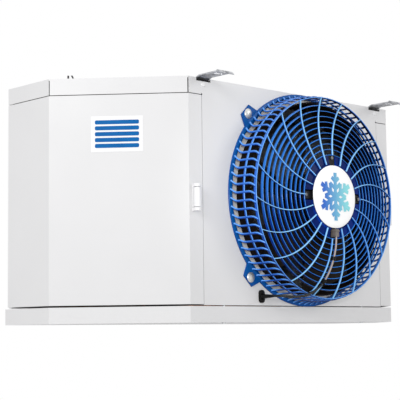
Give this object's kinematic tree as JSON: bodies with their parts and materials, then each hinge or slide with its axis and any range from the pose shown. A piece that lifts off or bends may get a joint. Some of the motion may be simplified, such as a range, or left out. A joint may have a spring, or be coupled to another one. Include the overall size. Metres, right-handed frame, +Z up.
{
  "type": "hot gas defrost evaporator",
  "caption": "Ceiling-hung unit cooler with chamfered hinged end doors, domed fan guard, finned coil, hot gas pan loop and a hinged drain pan.",
  "frame": {"origin": "the middle of the four hanger slots, on the plane that meets the ceiling rails", "axes": "+X along the fan face, to the right as seen from the fan side; the fan blows towards -Y; +Z up"},
  "size_m": [1.27, 0.6455, 0.6315],
  "materials": {
    "white_sheet": "satin powder coat",
    "galvanised_steel": "galvanised",
    "fin_aluminium": "mill finish",
    "copper": "drawn copper tube",
    "brass": "turned",
    "black_rubber": "matt",
    "grey_plastic": "matt",
    "guard_blue": "glossy moulding",
    "screw_steel": "zinc plated",
    "motor_black": "black paint",
    "black_plastic": "satin",
    "white_plastic": "satin",
    "label_face": "smooth film, plain",
    "drain_metal": "threaded"
  },
  "bodies": {
    "cabinet_body": {"cabinet_top": "white_sheet", "fan_panel": "white_sheet", "fan_collar": "motor_black", "left_tube_sheet": "galvanised_steel", "right_tube_sheet": "galvanised_steel", "left_rear_panel": "white_sheet", "right_rear_panel": "white_sheet", "coil_fin_pack": "fin_aluminium", "left_return_bends": "copper", "right_return_bends": "copper", "suction_header": "copper", "distributor": "brass", "feeder_tubes": "copper", "liquid_line": "copper", "hot_gas_pan_loop": "copper", "hot_gas_inlet_line": "copper", "hot_gas_check_valve": "brass", "hot_gas_side_line": "copper", "pipe_grommets": "black_rubber", "electrical_box": "galvanised_steel", "electrical_cover": "galvanised_steel", "terminal_block": "grey_plastic", "motor_lead_inside": "black_rubber", "fan_guard": "guard_blue", "guard_screws": "screw_steel", "motor_stator": "motor_black", "hub_disc": "white_plastic", "hub_screws": "screw_steel", "motor_connector": "grey_plastic", "motor_lead": "black_rubber", "lead_clips": "black_plastic", "lead_gland": "black_plastic", "front_left_hanger": "galvanised_steel", "front_right_hanger": "galvanised_steel", "rear_left_hanger": "galvanised_steel", "rear_right_hanger": "galvanised_steel", "top_tabs": "galvanised_steel", "panel_plugs": "white_plastic", "pan_hinge_fixed_leaves": "galvanised_steel", "pan_hinge_pins": "screw_steel"},
    "fan_body": {"motor_rotor": "motor_black", "fan_wheel": "black_plastic"},
    "left_door_body": {"left_door": "white_sheet", "left_door_pins": "screw_steel", "left_latch_base": "white_plastic", "left_latch_pin": "screw_steel", "label_plate": "label_face"},
    "left_latch_body": {"left_latch_lever": "white_plastic"},
    "right_door_body": {"right_door": "white_sheet", "right_door_pins": "screw_steel", "right_latch_base": "white_plastic", "right_latch_pin": "screw_steel"},
    "right_latch_body": {"right_latch_lever": "white_plastic"},
    "pan_body": {"drain_pan": "white_sheet", "drain_fitting": "drain_metal", "pan_hinge_pan_leaves": "galvanised_steel", "pan_bolts": "screw_steel"}
  },
  "joints": [
    {"name": "fan_spin", "type": "hinge", "parent": "cabinet_body", "child": "fan_body", "pos_m": [0.031, -0.219, -0.2955], "axis": [0, -1, 0], "continuous": true},
    {"name": "left_door_hinge", "type": "hinge", "parent": "cabinet_body", "child": "left_door_body", "pos_m": [-0.627, 0.211, -0.3], "axis": [0, 0, -1], "range_deg": [0, 95]},
    {"name": "right_door_hinge", "type": "hinge", "parent": "cabinet_body", "child": "right_door_body", "pos_m": [0.627, 0.211, -0.3], "axis": [0, 0, 1], "range_deg": [0, 95]},
    {"name": "left_latch_turn", "type": "hinge", "parent": "left_door_body", "child": "left_latch_body", "pos_m": [-0.377, -0.2313, -0.314], "axis": [0, 0, -1], "range_deg": [0, 90]},
    {"name": "right_latch_turn", "type": "hinge", "parent": "right_door_body", "child": "right_latch_body", "pos_m": [0.377, -0.2313, -0.314], "axis": [0, 0, 1], "range_deg": [0, 90]},
    {"name": "drain_pan_hinge", "type": "hinge", "parent": "cabinet_body", "child": "pan_body", "pos_m": [0, 0.236, -0.584], "axis": [1, 0, 0], "range_deg": [0, 60]}
  ]
}
